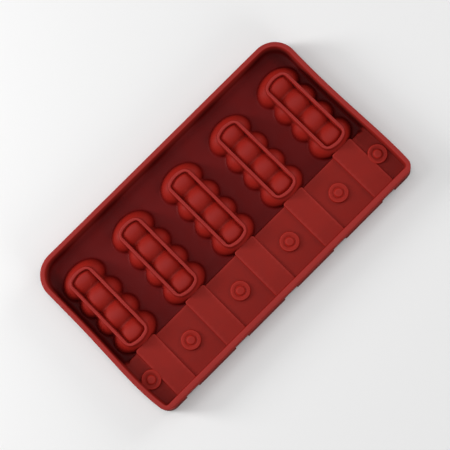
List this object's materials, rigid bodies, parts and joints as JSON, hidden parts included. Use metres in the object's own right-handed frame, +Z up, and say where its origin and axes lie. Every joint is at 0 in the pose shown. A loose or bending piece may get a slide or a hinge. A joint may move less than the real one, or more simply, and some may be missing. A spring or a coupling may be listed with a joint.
{
  "type": "silicone candy mould",
  "caption": "One-piece silicone mould for segmented candy bars on flat sticks, lying on its fill face with its cavities' outside up.",
  "frame": {"origin": "centre of the overall outline at the flat fill face, which lies on the table", "axes": "+X across the bars, +Y from the stick side to the far side, +Z up, out of the fill face"},
  "size_m": [0.1738, 0.0984, 0.011],
  "materials": {
    "silicone": "matte moulded silicone, brick red right through"
  },
  "bodies": {
    "root": {"mould": "silicone"}
  },
  "joints": []
}
